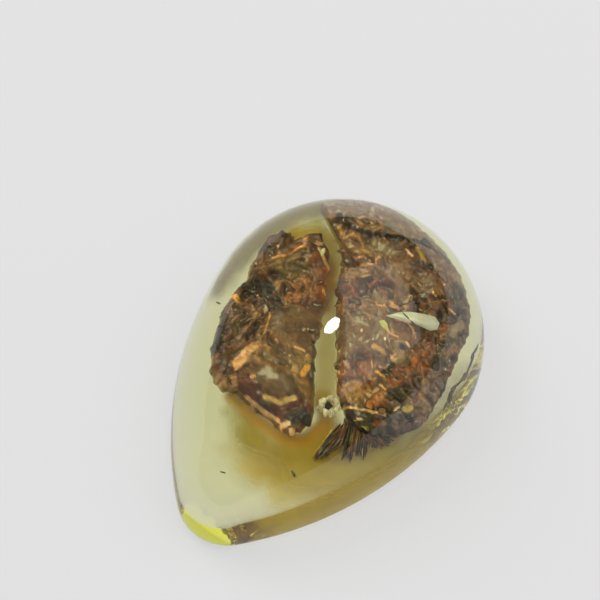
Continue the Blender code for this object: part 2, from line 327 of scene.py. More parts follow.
# the two crusts, in millimetres: outline, lobes (x, y, radius, height) and patches of colour, each a
# stroke of a given half-width along its points
leftCrust = {
    "name": "barkCrustLeft",
    "node": "bark_left",
    "meridians": 380,
    "rings": 160,
    "middle": (-4.3, 0.7),
    "rise": 2.1,
    "sink": 1.0,
    "base": "brown",
    "flakes": 90,
    "seed": 5,
    "outline": (
        (-9.6, 6.6), (-8.9, 3.4), (-9.4, 0.5), (-8.9, -2.4), (-7.7, -5.8), (-6.8, -7.3), (-5.6, -8.4),
        (-4.5, -8.7), (-2.7, -8.2), (-0.7, -8.6), (1.6, -9.0), (2.5, -8.5), (3.0, -7.3), (3.2, -6.1),
        (2.1, -3.8), (1.2, -2.3), (0.3, -0.9), (-0.7, 1.2), (-1.4, 3.7), (-2.1, 6.4), (-2.8, 7.7),
        (-3.1, 9.0), (-4.5, 10.6), (-5.5, 11.3), (-6.6, 10.6), (-7.1, 9.5), (-7.9, 9.9), (-9.0, 9.9),
        (-9.8, 8.8),
    ),
    "lobes": (
        (-6.1, 6.3, 2.4, -0.8), (-7.3, 3.4, 1.1, -0.7), (-3.4, 0.3, 2.2, 0.7), (-7.1, -3.3, 1.5, 0.5),
        (-3.8, -4.1, 1.3, 0.5), (-0.4, -5.3, 1.9, 1.2),
    ),
    "strokes": (
        ("khaki", 3.33, (-6.0, 5.4), (-3.1, 2.9)),
        ("olive", 1.44, (-6.4, 6.1), (-5.2, 6.9)),
        ("ochre", 1.44, (-3.6, 5.3), (-2.1, 5.1)),
        ("rustBrown", 1.0, (-4.1, 8.6), (-2.4, 6.2)),
        ("darkBrown", 1.33, (-9.1, 7.8), (-8.4, 9.1)),
        ("brown", 1.0, (-8.6, 5.5), (-7.1, 4.7)),
        ("nearBlack", 1.11, (-8.1, 2.4), (-6.7, 2.9)),
        ("darkBrown", 0.89, (-5.9, 0.9), (-4.7, 1.3)),
        ("purpleBrown", 1.44, (-8.7, -1.9), (-7.6, -4.6)),
        ("nearBlack", 0.67, (-9.1, -2.2), (-7.7, -5.7)),
        ("greyBrown", 0.78, (-7.2, -1.9), (-6.0, -3.4)),
        ("khaki", 1.67, (-5.0, -0.8), (-3.3, -1.1)),
        ("mauveGrey", 1.33, (-2.3, 2.0), (-1.6, 3.4)),
        ("smoothBrown", 1.78, (-2.8, 0.0), (-1.4, -0.4)),
        ("oliveYellow", 0.67, (-3.9, -4.4), (-2.8, -2.3)),
        ("cream", 0.56, (-4.6, -6.2), (-4.5, -4.7), (-4.0, -3.4)),
        ("khakiGrey", 1.89, (-1.8, -3.9), (-0.6, -2.2)),
        ("smoothOlive", 1.67, (-0.9, -5.7), (-0.2, -5.7)),
        ("darkRed", 1.0, (-2.9, -7.4), (-1.0, -8.0), (1.3, -7.3), (2.5, -5.4)),
        ("nearBlack", 0.67, (1.8, -7.6), (3.1, -6.2)),
        ("greyPink", 0.67, (-5.4, -8.2), (-4.0, -8.0)),
        ("darkBrown", 0.67, (-6.1, -6.7), (-5.1, -6.9)),
        ("redBrown", 0.5, (-3.2, 3.2), (-2.4, 4.2)),
        ("orange", 0.5, (-4.3, 3.1), (-3.9, 4.1)),
        ("oliveYellow", 0.78, (1.4, -4.0), (2.2, -4.6)),
        ("oliveBlack", 0.44, (1.0, -2.7), (0.7, -1.3)),
        ("gold", 0.28, (0.5, -3.3), (0.4, -1.9)),
        ("gold", 0.31, (-9.6, 1.0), (-8.5, 0.4)),
        # a painted highlight: the pale crescent along the lower rim of the round lobe
        ("creamGreen", 0.22, (-0.9, -7.4), (0.2, -7.2), (1.2, -5.8)),
        ("pinkWhite", 0.17, (-2.2, -8.2), (-1.3, -8.4), (-0.2, -8.5), (0.9, -8.6)),
        ("white", 0.22, (1.3, -8.8), (1.8, -8.2)),
        ("white", 0.2, (2.3, -8.6), (2.8, -8.1)),
        ("pink", 0.12, (-8.0, 6.5), (-7.0, 7.5), (-6.5, 8.5), (-6.1, 9.3), (-6.4, 10.3)),
        ("pinkWhite", 0.14, (-5.3, 10.3), (-4.6, 9.7), (-3.7, 9.1), (-2.9, 8.6)),
        ("pink", 0.1, (-7.0, 10.4), (-6.3, 9.8), (-6.1, 9.1)),
        ("gold", 0.09, (-4.9, 0.9), (-4.4, -0.4), (-4.1, -1.7)),
        # the small white, cream, gold and pink dots from here on are painted glints
        ("white", 0.12, (-8.3, 7.8), (-8.3, 8.0)),
        ("white", 0.1, (-4.8, 0.5)),
        ("white", 0.11, (-1.3, 1.4)),
        ("pinkWhite", 0.12, (-1.2, -1.2), (-0.7, -0.9)),
        ("white", 0.11, (-1.2, -2.3)),
        ("cream", 0.1, (-2.6, -6.5), (-2.5, -6.2)),
        ("cream", 0.11, (-2.7, -1.7), (-2.4, -1.8)),
        ("cream", 0.1, (-4.9, -3.2), (-4.8, -2.7)),
        ("cream", 0.1, (-4.4, -3.1)),
        ("cream", 0.1, (-4.4, -2.2)),
        ("gold", 0.1, (-5.0, -2.2)),
        ("cream", 0.11, (-0.9, -3.5)),
        ("cream", 0.1, (-2.0, -4.5)),
        ("pink", 0.09, (-3.2, -3.7)),
        ("cream", 0.09, (-8.0, 2.1)),
        ("cream", 0.09, (-7.0, 1.8)),
        ("gold", 0.11, (-2.2, 6.2), (-2.0, 5.9)),
        ("cream", 0.1, (-10.1, 5.4), (-9.2, 5.2)),
    ),
}
rightCrust = {
    "name": "barkCrustRight",
    "node": "bark_right",
    "meridians": 420,
    "rings": 190,
    "middle": (3.4, 7.6),
    "rise": 2.7,
    "sink": 1.2,
    "base": "brown",
    "flakes": 150,
    "seed": 8,
    "outline": (
        (-3.4, 11.1), (-2.2, 9.6), (-1.7, 7.8), (-0.8, 6.1), (0.5, 3.7), (1.8, 1.3), (2.9, -0.9),
        (3.7, -2.1), (4.5, -2.8), (5.5, -3.6), (7.1, -3.8), (8.9, -3.7), (11.1, -2.2), (13.2, 0.8),
        (12.8, 4.2), (11.9, 7.2), (11.2, 9.9), (10.7, 12.3), (9.7, 14.0), (8.3, 15.2), (5.9, 16.6),
        (3.8, 17.3), (1.2, 17.6), (-1.2, 18.2), (-4.0, 18.2), (-6.6, 16.7), (-8.0, 14.9), (-7.1, 13.5),
    ),
    "lobes": (
        (2.3, 11.8, 3.0, 1.3), (-0.4, 16.0, 1.8, 0.9), (2.7, 5.5, 2.2, 0.8), (6.9, 5.4, 1.3, 1.0),
        (6.8, 12.1, 1.8, 0.5), (5.8, -1.0, 1.7, -0.8), (9.2, -1.8, 1.8, 0.6),
    ),
    "strokes": (
        # partly painted sheen: the grey olive band along the back rim; the mauve grey patches on this crust
        # are partly painted reflection of the overhead panel
        ("greyOlive", 2.22, (-6.3, 14.1), (-2.3, 16.6), (2.7, 17.2), (6.4, 16.6)),
        ("mauveGrey", 1.11, (-4.3, 15.4), (-2.4, 16.3)),
        ("darkBrown", 0.89, (-4.7, 13.5), (-3.7, 13.6)),
        ("khaki", 0.89, (-2.8, 14.4), (-1.9, 14.7)),
        ("khaki", 1.11, (-3.2, 11.6), (-1.2, 12.0)),
        ("nearBlack", 0.29, (-5.3, 13.9), (-3.6, 13.1), (-2.1, 13.3), (0.9, 14.9), (2.8, 16.4), (5.6, 16.6)),
        ("oliveGrey", 0.89, (-0.2, 12.6), (0.8, 12.8)),
        ("purpleBrown", 0.78, (-1.4, 10.0), (1.3, 11.5)),
        ("mauveGrey", 1.0, (4.0, 15.3), (5.9, 15.6)),
        ("smoothOchre", 1.22, (2.4, 12.4), (3.6, 10.5)),
        ("deepPurple", 0.78, (3.8, 13.4), (4.7, 14.2)),
        ("smoothBrown", 1.22, (5.1, 12.2), (6.5, 13.7)),
        ("oliveGold", 0.56, (-1.0, 8.9), (1.1, 10.2)),
        ("redBrown", 1.33, (-0.1, 7.4), (1.8, 8.9)),
        ("darkRed", 0.78, (1.4, 7.1), (2.4, 9.6)),
        ("oliveBlack", 0.56, (-1.7, 7.6)),
        ("khaki", 0.44, (-1.7, 6.4), (-0.3, 5.3)),
        ("mauveGrey", 2.22, (2.2, 3.8), (4.1, 5.1)),
        ("smoothBrown", 1.11, (2.4, 6.9), (3.1, 8.4)),
        ("smoothMauve", 1.33, (5.1, 6.6), (6.5, 6.3)),
        ("grey", 1.0, (7.5, 5.1), (7.8, 4.2)),
        ("nearBlack", 0.29, (7.2, 5.4)),
        ("nearBlack", 0.39, (7.3, 3.2), (7.0, 2.1)),
        ("purpleRed", 1.0, (8.1, 6.9), (9.2, 7.9)),
        ("rustBrown", 0.89, (9.4, 6.3), (9.3, 4.8)),
        ("darkRed", 0.67, (3.6, 0.9), (4.8, 2.4)),
        ("rustBrown", 1.0, (3.5, -0.2), (5.2, 1.0)),
        ("amberYellow", 1.11, (4.5, -1.8), (6.3, -0.5)),
        ("orange", 0.89, (7.8, -0.9), (8.2, 0.2)),
        ("darkRed", 0.24, (3.4, -1.4), (4.4, -0.6), (5.1, 0.2), (6.2, 0.4)),
        ("rustBrown", 1.0, (8.3, 2.2), (9.1, 3.7)),
        ("oliveBlack", 0.78, (8.9, 0.7), (9.7, 1.7)),
        ("deepPurple", 0.89, (10.2, 2.8), (10.2, 4.0)),
        ("nearBlack", 1.05, (4.9, -3.8), (7.7, -2.9), (10.0, -1.4), (11.7, 0.1)),
        ("nearBlack", 0.67, (6.5, -4.3), (9.7, -3.0), (11.6, -1.3)),
        ("lime", 0.4, (10.7, 0.6), (11.1, 1.1)),
        ("rust", 0.2, (9.1, -2.8), (9.9, -2.0)),
        ("purpleBrown", 0.44, (11.1, -1.4), (12.3, 0.2), (12.9, 2.0)),
        ("greyOlive", 0.56, (11.9, 2.5), (13.0, 2.4)),
        ("khaki", 0.39, (11.4, 2.6), (10.7, 4.6), (10.6, 6.5)),
        ("oliveBlack", 1.0, (10.6, 7.2), (10.5, 10.0), (9.4, 12.7), (8.0, 14.4)),
        ("greyOlive", 0.5, (9.8, 10.5), (10.1, 12.1)),
        ("khaki", 0.33, (10.7, 8.1), (10.9, 9.7)),
        ("ochre", 0.28, (6.6, 11.4), (7.7, 11.5), (8.5, 11.6)),
        ("darkBrown", 0.17, (6.6, 10.7), (7.8, 10.9)),
        ("oliveGold", 0.22, (6.6, 12.5), (8.2, 12.4)),
        ("gold", 0.2, (-4.4, 12.4), (-3.7, 12.0)),
        # the lime line, the cream lines and the small white and cream dots from here on are painted glints
        ("lime", 0.19, (2.5, 15.1), (3.1, 14.9), (3.8, 14.5)),
        ("pinkWhite", 0.14, (1.9, 14.2), (2.7, 14.0)),
        ("oliveGold", 0.1, (1.2, 14.3), (2.0, 14.9), (2.8, 15.0)),
        ("cream", 0.12, (0.4, 11.3), (0.5, 11.7)),
        ("cream", 0.13, (3.6, 8.7), (4.1, 8.6), (4.6, 8.6)),
        ("cream", 0.16, (4.9, 9.2), (4.9, 9.8), (4.9, 10.4)),
        ("pink", 0.1, (-1.3, 9.4), (-0.4, 10.1), (0.6, 11.0)),
        ("pink", 0.09, (-1.6, 10.3), (-0.6, 11.1)),
        ("pinkWhite", 0.2, (4.7, 3.7), (5.2, 3.8), (5.7, 3.9)),
        ("white", 0.13, (3.0, 4.3)),
        ("greyPink", 0.39, (2.9, 5.7)),
        ("pinkWhite", 0.1, (4.9, 7.6), (6.0, 8.1), (6.8, 7.9), (7.4, 7.3)),
        ("cream", 0.1, (4.4, 6.1), (5.5, 5.9), (6.3, 6.0)),
        ("pinkWhite", 0.12, (5.2, -3.2), (6.5, -2.6), (7.5, -2.2), (8.6, -2.0), (9.5, -1.4)),
        ("white", 0.1, (6.8, -3.6), (7.6, -3.2)),
        ("gold", 0.11, (5.3, 2.3), (5.7, 1.9)),
        ("gold", 0.1, (6.2, 1.6), (7.2, 1.8)),
        ("cream", 0.09, (7.2, 0.9), (8.0, 0.8)),
        ("white", 0.11, (10.0, -0.3), (10.1, 0.3)),
        ("white", 0.12, (7.3, 6.1), (7.6, 6.0)),
        ("white", 0.11, (6.4, 12.2), (6.7, 12.1)),
        ("white", 0.09, (6.7, 13.8)),
        ("white", 0.09, (8.1, 5.9)),
        ("pink", 0.1, (6.2, 2.4), (6.7, 2.7)),
        ("cream", 0.09, (8.4, 12.1), (9.1, 12.2)),
        ("grey", 0.13, (11.4, 7.8)),
        ("cream", 0.1, (-2.7, 9.3), (-1.9, 8.4)),
        ("cream", 0.11, (-0.5, 5.6)),
        ("cream", 0.09, (3.1, -0.5)),
        ("cream", 0.09, (3.4, 8.1)),
        ("cream", 0.08, (2.9, 7.6), (3.6, 8.0)),
        ("pinkWhite", 0.11, (7.0, 4.4), (6.8, 3.8)),
        ("cream", 0.09, (11.2, 10.3)),
        ("cream", 0.09, (4.8, 11.9), (5.1, 11.9)),
        ("grey", 0.12, (0.8, 17.2), (1.4, 16.8)),
    ),
}

# the layer that all the debris lies on, tilted towards the right
layer = {
    "height": 6.6,
    "tilt": 0.13,
}

# the relief of both crusts, in millimetres, and the painted shade it gives them: darker in the seams,
# lighter on ridges and raised plates
relief = {
    "plateSize": 1.25,
    "plateLift": 0.22,
    "plateTilt": 0.6,
    "plateMix": 7.3,  # sets the random lifts of neighbouring plates apart
    "seamDepth": 0.07,
    "seamSharpness": 6,
    "ridgeWave": 1.5,
    "ridgeHeight": 0.16,
    "ridgeFractal": (0.9, 2.2, 4, 1.0, 2.0),  # dimension, lacunarity, octaves, offset and gain
    "grainWave": 0.38,
    "grainHeight": 0.06,
    "warpWave": 1.7,
    "warp": 0.55,
    "ragged": 0.3,
    "raggedWave": 0.7,
    "raggedFine": 0.6,
    "raggedFineWave": 0.3,
    "raggedPower": 10,  # the higher, the closer the raggedness keeps to the rim
    "shoulder": 0.6,  # the lower, the flatter the top and the steeper the rim
    "underside": 0.3,  # share of the relief on the underside
    "thinFrom": 7,
    "thinOver": 7,
    "thinBy": 0.58,
    "underColor": (0.2, 0.17, 0.1),
    "underFade": 4,
    "warmth": (1.38, 0.93, 0.66),
    "ridgeShade": 0.28,
    "plateShade": 0.35,
    "seamShade": 0.3,
    "shadeLimits": (0.3, 1.9),
}

# the patches of colour; an edge has how far it wanders, how softly it fades and how much the tone varies
patches = {
    "mottle": 0.55,
    "mottleWave": 1.3,
    "edgeWave": 0.8,
    "edgeFine": 0.6,
    "edgeFineWave": 0.35,
    "reach": 1.15,
    "thinWidth": 0.3,
    "thinEdge": (0.25, 0.35, 0.0),
    "wideEdge": (0.45, 0.45, 0.35),
}

# loose flakes on the crusts; the sizes are in millimetres, and the reach is a share of the way to the rim
flakes = {
    "reach": (0.08, 0.97),
    "leastRough": 0.45,
    "sizes": (0.22, 0.75),
    "widthShare": (0.35, 0.8),
    "thicknessShare": 0.09,
    "tones": (0.4, 0.6, 0.8, 1.15, 1.35),
    "toneLimits": (0.012, 0.85),
    "tilt": 0.6,
    "lift": (-0.05, 0.12),
    "crumple": 0.5,
    "crumpleWave": 0.3,
}

# where each noise is cut, so that no two are alike
slices = {
    "rim": 3.1,
    "rimFine": 9.4,
    "mottle": 20.5,
    "edge": 14.2,
    "edgeFine": 4.8,
    "warpX": 31.0,
    "warpY": 47.0,
    "plates": 3.7,
    "grain": 2.0,
    "film": 1.0,
    "filmEdge": 6.0,
}


def layerHeight(x):
    return layer["height"] - layer["tilt"] * x


def strokeDistance(points, x, y):
    # distance of each place to a line through the points
    nearest = np.hypot(x - points[0][0], y - points[0][1])
    for (ax, ay), (bx, by) in zip(points[:-1], points[1:]):
        dx, dy = bx - ax, by - ay
        along = np.clip(((x - ax) * dx + (y - ay) * dy) / (dx * dx + dy * dy), 0, 1)
        nearest = np.minimum(nearest, np.hypot(x - ax - along * dx, y - ay - along * dy))
    return nearest


def waves(x, y, wave, cut):
    # smooth noise at each place, about a wave from one swell to the next
    return np.array([noise.noise((a / wave, b / wave, cut)) for a, b in zip(x, y)])


def plates(x, y, seed):
    # loose plates of bark, each lying a little askew: their height, and how near a seam is
    height = np.empty(len(x))
    seam = np.empty(len(x))
    size = relief["plateSize"]
    for i, (a, b) in enumerate(zip(x, y)):
        gaps, centres = noise.voronoi((a / size, b / size, seed))
        lift = noise.cell_vector(centres[0] * relief["plateMix"])
        slope = (a / size - centres[0].x) * (lift.y - 0.5) + (b / size - centres[0].y) * (lift.z - 0.5)
        height[i] = (lift.x - 0.5) * relief["plateLift"] + slope * relief["plateTilt"]
        seam[i] = max(0.0, 1 - (gaps[1] - gaps[0]) * relief["seamSharpness"])
    return height, seam


def crustRim(crust, turn):
    # how far the rim is from the middle at each turn, and how ragged it is there
    middle = np.array(crust["middle"])
    points = np.array(crust["outline"]) - middle
    angles = np.arctan2(points[:, 1], points[:, 0])
    order = np.argsort(angles)
    angles, reach = angles[order], np.hypot(points[:, 0], points[:, 1])[order]
    wrapped = np.concatenate([angles - 2 * np.pi, angles, angles + 2 * np.pi])
    rim = np.interp(turn, wrapped, np.tile(reach, 3))
    x, y = middle[0] + rim * np.cos(turn), middle[1] + rim * np.sin(turn)
    coarse = waves(x, y, relief["raggedWave"], slices["rim"])
    fine = relief["raggedFine"] * waves(x, y, relief["raggedFineWave"], slices["rimFine"])
    return rim, relief["ragged"] * (coarse + fine)


def crustTints(crust, x, y):
    # patches over a mottled base colour, and how strongly the relief shows at each place
    base = np.array(palette[crust["base"]])
    patchy = 1 + patches["mottle"] * waves(x, y, patches["mottleWave"], slices["mottle"])
    color = base[None, :3] * patchy[:, None]
    rough = np.full(len(x), base[3])
    fine = patches["edgeFine"] * waves(x, y, patches["edgeFineWave"], slices["edgeFine"])
    ragged = waves(x, y, patches["edgeWave"], slices["edge"]) + fine
    for name, width, *points in crust["strokes"]:
        red, green, blue, strength = palette[name]
        wander, fade, spread = patches["wideEdge" if width > patches["thinWidth"] else "thinEdge"]
        far = strokeDistance(points, x, y) / width + ragged * wander
        weight = np.clip((patches["reach"] - far) / fade, 0, 1)
        tone = 1 + spread * ragged
        color += weight[:, None] * (np.array([red, green, blue]) * tone[:, None] - color)
        rough += weight * (strength - rough)
    return color, rough


def crustRelief(crust, x, y):
    # height of the plates, seams, ridges and grain, and the painted shade they give the crust: darker in the
    # seams, lighter on ridges and raised plates
    warpX = x + relief["warp"] * waves(x, y, relief["warpWave"], slices["warpX"])
    warpY = y + relief["warp"] * waves(x, y, relief["warpWave"], slices["warpY"])
    plateHeight, seam = plates(warpX, warpY, crust["seed"] * slices["plates"])
    ridges = np.array([
        noise.ridged_multi_fractal((a, b, crust["seed"]), *relief["ridgeFractal"])
        for a, b in zip(warpX / relief["ridgeWave"], warpY / relief["ridgeWave"])
    ])
    ridges = (ridges - ridges.mean()) / ridges.std()
    grain = waves(x, y, relief["grainWave"], slices["grain"])
    lift = plateHeight - relief["seamDepth"] * seam
    lift = lift + relief["ridgeHeight"] * ridges + relief["grainHeight"] * grain
    shade = relief["ridgeShade"] * ridges + relief["plateShade"] * plateHeight / relief["plateLift"]
    return lift, shade - relief["seamShade"] * seam


def addFlakes(bm, tint, crust, tops, places, tints, rough):
    # loose flakes stuck to the top, with none where it is smooth
    rng = random.Random(crust["seed"])
    for i in range(crust["flakes"]):
        at = tops[rng.randrange(len(tops))]
        if rough[at] < flakes["leastRough"]:
            continue
        size = rng.uniform(*flakes["sizes"]) * mm
        tone = rng.choice(flakes["tones"])
        spot = np.clip(tints[at] * tone, *flakes["toneLimits"]).tolist()
        turned = Matrix.Rotation(rng.uniform(0, math.tau), 4, "Z")
        tiltX, tiltY = (rng.uniform(-flakes["tilt"], flakes["tilt"]) for side in range(2))
        tilted = Matrix.Rotation(tiltX, 4, "X") @ Matrix.Rotation(tiltY, 4, "Y")
        width = size * rng.uniform(*flakes["widthShare"])
        flat = Matrix.Diagonal((size, width, size * flakes["thicknessShare"], 1))
        x, y, z = places[at]
        where = Matrix.Translation((x * mm, y * mm, (z + rng.uniform(*flakes["lift"])) * mm))
        shape = where @ turned @ tilted @ flat
        made = bmesh.ops.create_icosphere(bm, subdivisions=2, radius=1, matrix=shape)
        for vert in made["verts"]:
            out = vert.co - where.translation
            swell = 1 + flakes["crumple"] * noise.noise(vert.co / (flakes["crumpleWave"] * mm))
            vert.co = where.translation + out * swell
            vert[tint] = spot


def crustPiece(crust, material):
    # a ball drawn out to the crust's outline
    bm, tint = newTinted()
    bmesh.ops.create_uvsphere(bm, u_segments=crust["meridians"], v_segments=crust["rings"], radius=1)
    ball = np.array([vert.co for vert in bm.verts])
    reach = np.hypot(ball[:, 0], ball[:, 1])
    turn = np.arctan2(ball[:, 1], ball[:, 0])
    rim, ragged = crustRim(crust, turn)
    rim = rim + ragged * reach ** relief["raggedPower"]
    x = crust["middle"][0] + rim * reach * np.cos(turn)
    y = crust["middle"][1] + rim * reach * np.sin(turn)
    color, rough = crustTints(crust, x, y)
    lift, shade = crustRelief(crust, x, y)

    # its height over the layer: lobes and relief on top, and thinner towards the right rim
    upper = ball[:, 2] > 0
    top = crust["rise"] + rough * lift
    for cx, cy, radius, height in crust["lobes"]:
        top += height * np.exp(-((x - cx) ** 2 + (y - cy) ** 2) / radius ** 2)
    full = np.abs(ball[:, 2]) ** relief["shoulder"]
    t = np.clip((x - relief["thinFrom"]) / relief["thinOver"], 0, 1)
    low = 1 - relief["thinBy"] * t * t * (3 - 2 * t)
    z = layerHeight(x) + np.where(upper, top, -crust["sink"] + relief["underside"] * lift) * full * low
    places = np.column_stack([x, y, z])

    under = np.clip(-relief["underFade"] * ball[:, 2], 0, 1)[:, None]
    color += under * (np.array(relief["underColor"]) - color)
    # the painted shade of the relief is multiplied into the colour
    shade = np.clip(1 + rough * shade, *relief["shadeLimits"])
    tints = np.column_stack([color * shade[:, None] * relief["warmth"], np.ones(len(x))])
    layVerts(bm, tint, places, tints)
    nearest, farthest = flakes["reach"]
    tops = np.flatnonzero(upper & (reach < farthest) & (reach > nearest))
    addFlakes(bm, tint, crust, tops, places, tints, rough)
    piece = addObject(crust["name"], bm, material)
    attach(piece, "root")
    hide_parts(crust["node"])


# the small pieces, in millimetres on the layer
fibreLook = {
    "seed": 32,
    "bendWave": 0.6,
    "toneWave": 0.4,
    "toneSpread": 0.5,
}
splinters = {
    "seed": 21,
    "colors": (
        "darkRed", "nearBlack", "darkBrown", "rustBrown", "darkRed", "nearBlack", "redBrown", "nearBlack",
    ),
    "jag": 0.8,
    "bladeRoot": ((5.3, -4.0), (7.0, -4.4)),
    "bladeTip": ((5.4, -9.4), (6.5, -8.4)),
    "bladeFibres": 44,
    "bladeWidths": (0.14, 0.26),
    "bladeGoldFirst": 3,
    "bladeGoldEvery": 7,
    "bladeGoldWidth": 0.09,
    "bladeCut": (0.0, 0.25),  # share of its length that a fibre lacks at the root
    "bladeAside": (-0.15, 0.15),
    "bladeBeyond": (-0.3, 0.5),
    "bladeDepth": (-0.3, 0.35),
    "bladeDrop": 0.1,
    "tuft": (
        ((6.0, -3.4), (7.0, -6.5)), ((6.4, -3.3), (8.3, -7.3)), ((6.8, -3.2), (8.9, -7.2)),
        ((7.2, -3.2), (9.2, -6.1)), ((7.7, -3.6), (9.5, -4.9)), ((7.9, -3.6), (10.0, -6.0)),
        ((8.3, -3.3), (10.3, -4.2)), ((8.8, -3.0), (10.9, -3.7)), ((9.2, -2.8), (11.2, -2.9)),
    ),
    "tuftFibres": 14,
    "tuftWidths": (0.12, 0.26),
    "tuftGold": 4,
    "tuftGoldWidth": 0.08,
    "tuftRoot": ((-0.4, 0.4), (-0.25, 0.25), (-0.3, 0.3)),  # how far the fibres' roots spread each way
    "tuftTip": ((-0.35, 0.35), (-0.5, 0.6), (-0.4, 0.4)),
}
crumb = {
    "places": (
        (3.4, -4.7, 0.42), (3.3, -3.9, 0.45), (3.7, -3.3, 0.42), (4.3, -3.2, 0.45), (4.8, -3.6, 0.42),
        (4.6, -4.4, 0.45), (4.1, -4.8, 0.4), (3.5, -4.3, 0.35),
    ),
    "core": (3.95, -4.05, 0.62),
    "lift": 1.0,
    "coreLift": 1.1,
    "halfLength": 0.7,  # as a share of a grain's width, like the next
    "coreWidth": 0.8,
}
strand = {
    "route": (
        (13.4, 12.1), (13.2, 11.0), (13.6, 9.9), (14.0, 8.9), (14.0, 7.8), (13.6, 6.7), (13.8, 5.8),
        (14.2, 4.9), (14.3, 4.0),
    ),
    "widths": (0.75, 1.15, 0.7, 1.0, 0.6, 1.0, 1.2, 0.7),  # of each stretch, as shares of the thickness
    "thickness": 0.42,
    "overlap": 0.22,
    "colors": ("purpleBrown", "greyBrown"),
}
paleFlake = {
    "outline": (
        (4.3, 6.9), (5.1, 8.0), (6.0, 8.8), (7.3, 9.5), (8.4, 10.0), (9.2, 9.8), (9.4, 9.1), (8.8, 8.5),
        (7.1, 8.1), (5.7, 7.5),
    ),
    "lift": 3.85,
    "thickness": 0.12,
    # near white: painted reflection of an air film
    "color": (0.94, 0.94, 0.98),
    "toneWave": 1.2,
    "toneSpread": 0.25,
    "hair": ((5.4, 8.3), (6.5, 8.1), (7.6, 7.9)),
    "hairLift": 0.16,
    "hairWidth": 0.11,
}
specks = {
    "speckLeft": ("speck_left", (-10.6, -0.4), 0.42, 0.0),
    "speckMiddle": ("speck_middle", (4.9, -12.1), 0.5, -27.0),
    "speckTip": ("speck_tip", (-0.4, -16.4), 0.3, 20.0),
}
speckWidth = 0.4  # as a share of half its length


def fibre(bm, tint, start, end, width, colorName, flat=0.7, jag=0.35, detail=2):
    # a long thin sliver between two places
    start, end = Vector(start) * mm, Vector(end) * mm
    run = end - start
    turn = run.to_track_quat("Z", "X").to_matrix().to_4x4()
    shape = Matrix.Diagonal((width * mm, width * flat * mm, run.length / 2, 1))
    middle = Matrix.Translation((start + end) / 2)
    made = bmesh.ops.create_icosphere(bm, subdivisions=detail, radius=1, matrix=middle @ turn @ shape)
    color = Vector(palette[colorName][:3])
    for vert in made["verts"]:
        vert.co += noise.noise_vector(vert.co / (fibreLook["bendWave"] * mm)) * jag * width * mm
        tone = 1 + fibreLook["toneSpread"] * noise.noise(vert.co / (fibreLook["toneWave"] * mm))
        vert[tint] = (*color * tone, 1.0)


def finishPiece(name, bm, material, node):
    piece = addObject(name, bm, material)
    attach(piece, "root")
    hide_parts(node)


def pickFibre(rng, gold, goldWidth, widths):
    # colour and width of a fibre: thin and golden, or drawn at random
    if gold:
        return "gold", goldWidth
    return rng.choice(splinters["colors"]), rng.uniform(*widths)


def splinterPieces(material):
    # the long flat blade
    rng = random.Random(splinters["seed"])
    bm, tint = newTinted()
    (ax, ay), (bx, by) = splinters["bladeRoot"]
    (cx, cy), (dx, dy) = splinters["bladeTip"]
    golden = range(splinters["bladeGoldFirst"], splinters["bladeFibres"], splinters["bladeGoldEvery"])
    for i in range(splinters["bladeFibres"]):
        t = rng.random()
        x0, y0 = ax + (bx - ax) * t, ay + (by - ay) * t
        x1, y1 = cx + (dx - cx) * t, cy + (dy - cy) * t
        cut = rng.uniform(*splinters["bladeCut"])
        x0, y0 = x0 + (x1 - x0) * cut, y0 + (y1 - y0) * cut
        x1 += rng.uniform(*splinters["bladeAside"])
        y1 += rng.uniform(*splinters["bladeBeyond"])
        z = rng.uniform(*splinters["bladeDepth"])
        color, width = pickFibre(rng, i in golden, splinters["bladeGoldWidth"], splinters["bladeWidths"])
        start = (x0, y0, layerHeight(x0) + z)
        end = (x1, y1, layerHeight(x1) + z - splinters["bladeDrop"])
        fibre(bm, tint, start, end, width, color, jag=splinters["jag"])
    finishPiece("splinterBlade", bm, material, "splinter_blade")

    # the short tuft beside it
    bm, tint = newTinted()
    rootX, rootY, rootZ = splinters["tuftRoot"]
    tipX, tipY, tipZ = splinters["tuftTip"]
    for (x0, y0), (x1, y1) in splinters["tuft"]:
        for i in range(splinters["tuftFibres"]):
            ax, ay = x0 + rng.uniform(*rootX), y0 + rng.uniform(*rootY)
            bx, by = x1 + rng.uniform(*tipX), y1 + rng.uniform(*tipY)
            golden = i == splinters["tuftGold"]
            color, width = pickFibre(rng, golden, splinters["tuftGoldWidth"], splinters["tuftWidths"])
            start = (ax, ay, layerHeight(ax) + rng.uniform(*rootZ))
            end = (bx, by, layerHeight(bx) + rng.uniform(*tipZ))
            fibre(bm, tint, start, end, width, color, jag=splinters["jag"])
    finishPiece("splinterTuft", bm, material, "splinter_tuft")


def crumbPiece(material):
    # a ring of white grains round a dark core
    bm, tint = newTinted()
    for x, y, width in crumb["places"]:
        z = layerHeight(x) + crumb["lift"]
        half = width * crumb["halfLength"]
        fibre(bm, tint, (x - half, y, z), (x + half, y, z), width, "white", flat=0.9, jag=0.8, detail=3)
    x, y, width = crumb["core"]
    z = layerHeight(x) + crumb["coreLift"]
    half = width * crumb["halfLength"]
    width *= crumb["coreWidth"]
    fibre(bm, tint, (x - half, y, z), (x + half, y, z), width, "nearBlack", flat=0.8, jag=0.5, detail=3)
    finishPiece("chalkCrumb", bm, material, "chalk_crumb")


def strandPiece(material):
    # short stretches that overlap along a route
    bm, tint = newTinted()
    route, run = strand["route"], strand["overlap"]
    for i, ((x0, y0), (x1, y1)) in enumerate(zip(route[:-1], route[1:])):
        start = (x0 - (x1 - x0) * run, y0 - (y1 - y0) * run, layerHeight(x0))
        end = (x1 + (x1 - x0) * run, y1 + (y1 - y0) * run, layerHeight(x1))
        width = strand["thickness"] * strand["widths"][i]
        fibre(bm, tint, start, end, width, strand["colors"][i % 2], flat=0.6, jag=0.7, detail=3)
    finishPiece("edgeStrand", bm, material, "edge_strand")


